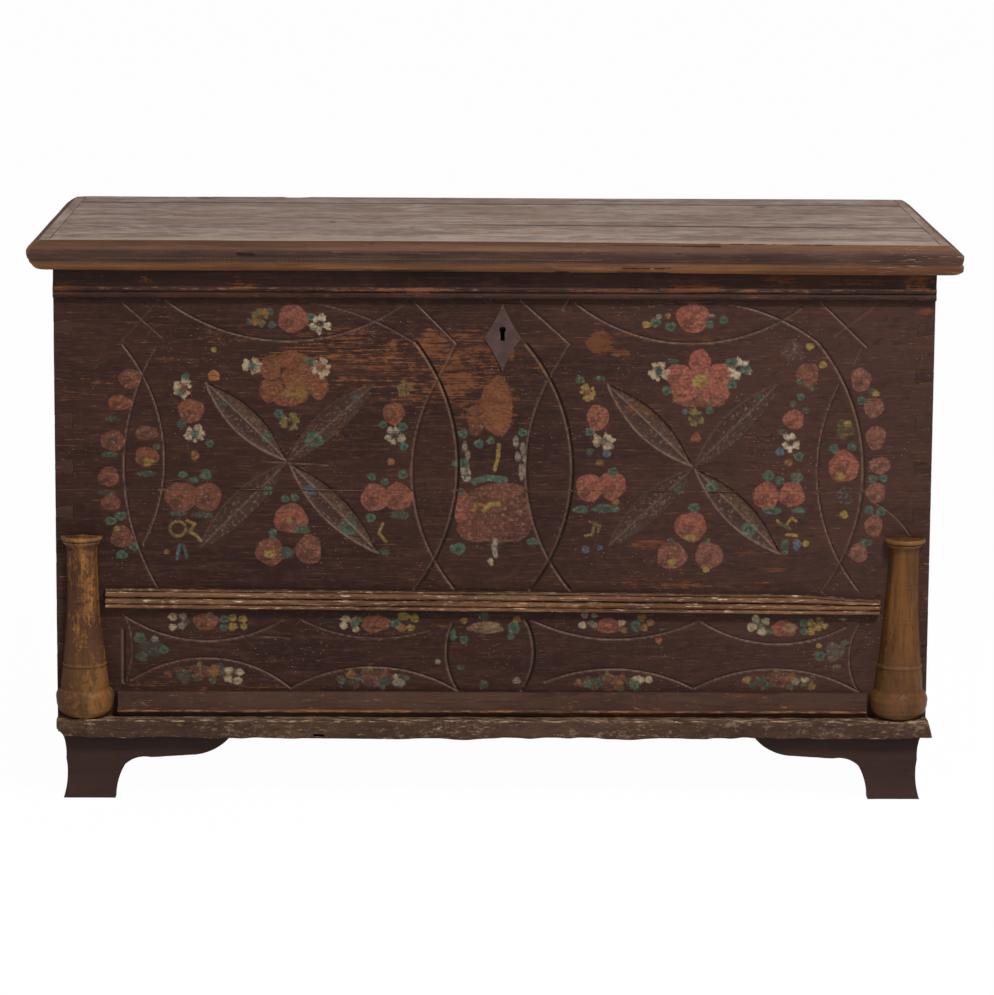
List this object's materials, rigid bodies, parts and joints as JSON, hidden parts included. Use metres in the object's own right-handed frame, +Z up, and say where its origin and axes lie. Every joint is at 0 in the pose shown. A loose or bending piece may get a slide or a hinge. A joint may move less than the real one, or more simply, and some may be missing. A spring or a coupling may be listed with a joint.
{
  "type": "wedding chest",
  "caption": "Painted pine dower chest with a moulded hinged lid, split columns, a painted and carved front, an iron lock, a till and bracket feet.",
  "frame": {"origin": "middle of the ground the chest stands on, under the centre of its bounding box", "axes": "+X along the length to the right as seen from the front, -Y towards the painted front, +Z up"},
  "size_m": [1.244, 0.6014, 0.762],
  "materials": {
    "front_paint": "worn maroon-brown paint over carved pine",
    "carcass_paint": "worn maroon-brown paint",
    "bare_pine": "aged unpainted pine",
    "moulding_paint": "worn khaki-brown paint",
    "column_paint": "worn ochre-brown paint",
    "lid_wood": "weathered grey-brown pine",
    "rim_paint": "worn brown paint",
    "foot_paint": "dark maroon-brown paint",
    "iron": "dark forged iron"
  },
  "bodies": {
    "carcass": {"front_board_upper": "front_paint", "front_board_lower": "front_paint", "frieze_moulding": "front_paint", "side_board_upper_left": "carcass_paint", "side_board_lower_left": "carcass_paint", "side_board_upper_right": "carcass_paint", "side_board_lower_right": "carcass_paint", "back_board_upper": "bare_pine", "back_board_lower": "bare_pine", "floor_board_front": "bare_pine", "floor_board_middle": "bare_pine", "floor_board_back": "bare_pine", "till_wall": "bare_pine", "till_floor": "bare_pine", "middle_moulding": "moulding_paint", "base_moulding": "moulding_paint", "plinth_moulding": "moulding_paint", "column_left": "column_paint", "column_right": "column_paint", "foot_bracket_front_left_long": "foot_paint", "foot_bracket_front_left_side": "foot_paint", "foot_block_front_left": "bare_pine", "foot_bracket_front_right_long": "foot_paint", "foot_bracket_front_right_side": "foot_paint", "foot_block_front_right": "bare_pine", "foot_bracket_back_left_long": "foot_paint", "foot_bracket_back_left_side": "foot_paint", "foot_block_back_left": "bare_pine", "foot_bracket_back_right_long": "foot_paint", "foot_bracket_back_right_side": "foot_paint", "foot_block_back_right": "bare_pine", "escutcheon": "iron", "escutcheon_brads": "iron", "lock_plate": "iron", "lock_guide_frame": "iron", "lock_key_bridge": "iron", "lock_spring": "iron", "lock_nails": "iron", "hinge_leaf_left": "iron", "hinge_leaf_right": "iron", "hinge_pin_left": "iron", "hinge_pin_right": "iron", "hinge_leaf_nails": "iron", "floor_nails": "iron"},
    "lid": {"lid_board_front": "lid_wood", "lid_board_middle": "lid_wood", "lid_board_back": "lid_wood", "lid_rim_front": "rim_paint", "lid_rim_left": "rim_paint", "lid_rim_right": "rim_paint", "hinge_strap_left": "iron", "hinge_strap_right": "iron", "hinge_strap_nails": "iron", "lid_staple": "iron", "staple_nails": "iron"},
    "lock_bolt": {"lock_bolt": "iron"},
    "till_lid": {"till_lid": "bare_pine"}
  },
  "joints": [
    {"name": "lid_hinge", "type": "hinge", "parent": "carcass", "child": "lid", "pos_m": [0, 0.29525, 0.7315], "axis": [-1, 0, 0], "range_deg": [0, 100]},
    {"name": "till_lid_hinge", "type": "hinge", "parent": "carcass", "child": "till_lid", "pos_m": [-0.56, 0, 0.603], "axis": [0, -1, 0], "range_deg": [0, 90]},
    {"name": "lock_bolt_slide", "type": "slide", "parent": "carcass", "child": "lock_bolt", "axis": [1, 0, 0], "range_m": [0, 0.016]}
  ]
}
